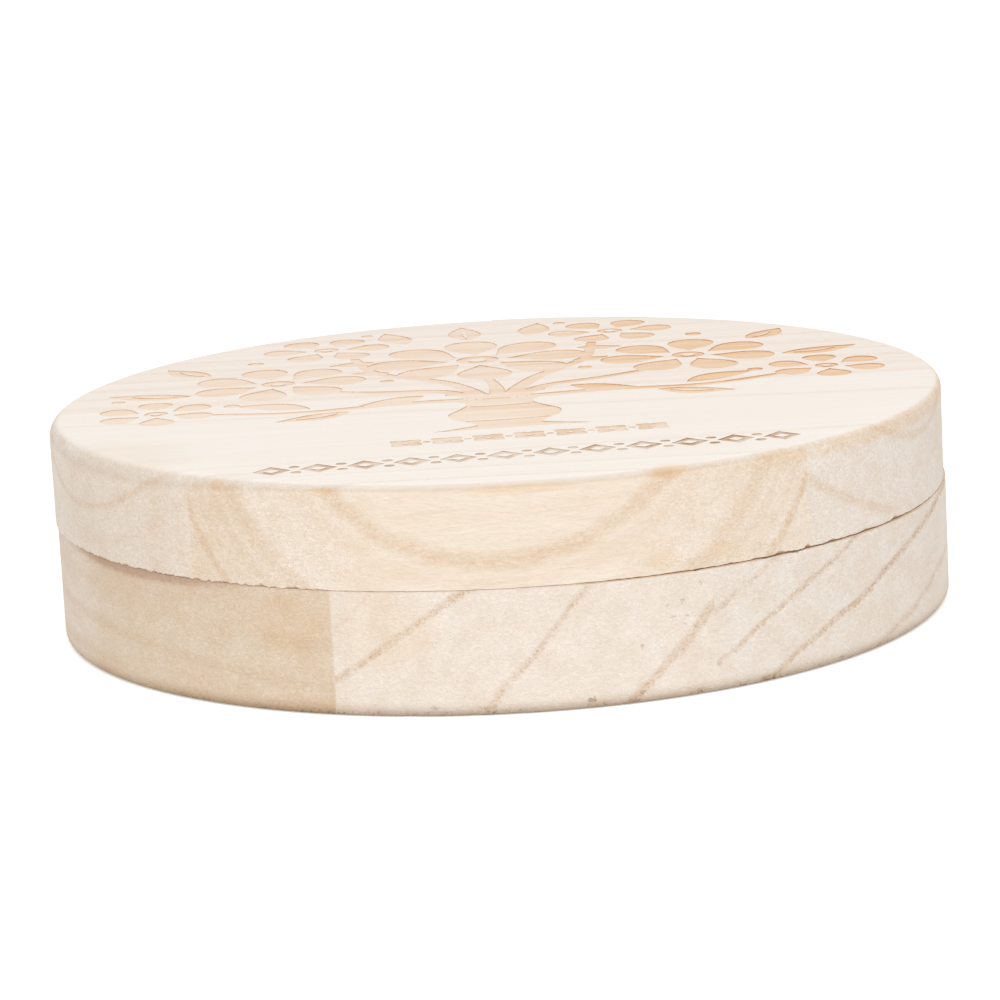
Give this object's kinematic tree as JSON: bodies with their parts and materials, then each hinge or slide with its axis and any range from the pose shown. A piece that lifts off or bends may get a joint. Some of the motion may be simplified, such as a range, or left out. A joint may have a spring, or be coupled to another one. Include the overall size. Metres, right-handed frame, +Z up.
{
  "type": "round tooth keepsake box",
  "caption": "Round two-part wooden keepsake box; the thick flat lid swings sideways on an upright screw to uncover small round wells in the base.",
  "frame": {"origin": "centre of the base's underside", "axes": "+Z up through both discs, -Y towards the front, +Y towards the pivot at the back"},
  "size_m": [0.1202, 0.12, 0.0292],
  "materials": {
    "pale_wood": "bare sanded paulownia, pale cream with faint tan year rings",
    "tan_wood": "bare sanded paulownia, darker tan",
    "brass": "turned brass",
    "steel": "zinc-plated steel",
    "magnet_plating": "nickel-plated disc magnet"
  },
  "bodies": {
    "base": {"base_left_strip": "tan_wood", "base_middle_strip": "pale_wood", "base_right_strip": "pale_wood", "pivot_bush": "brass", "head_washer": "steel", "base_magnet": "magnet_plating"},
    "lid": {"lid_front_strip": "pale_wood", "lid_near_strip": "pale_wood", "lid_far_strip": "pale_wood", "lid_back_strip": "pale_wood", "lid_insert": "brass", "pivot_screw": "steel", "lid_magnet": "magnet_plating"}
  },
  "joints": [
    {"name": "lid_swing", "type": "hinge", "parent": "base", "child": "lid", "pos_m": [0, 0.052, 0.0158], "axis": [0, 0, 1], "continuous": true}
  ]
}
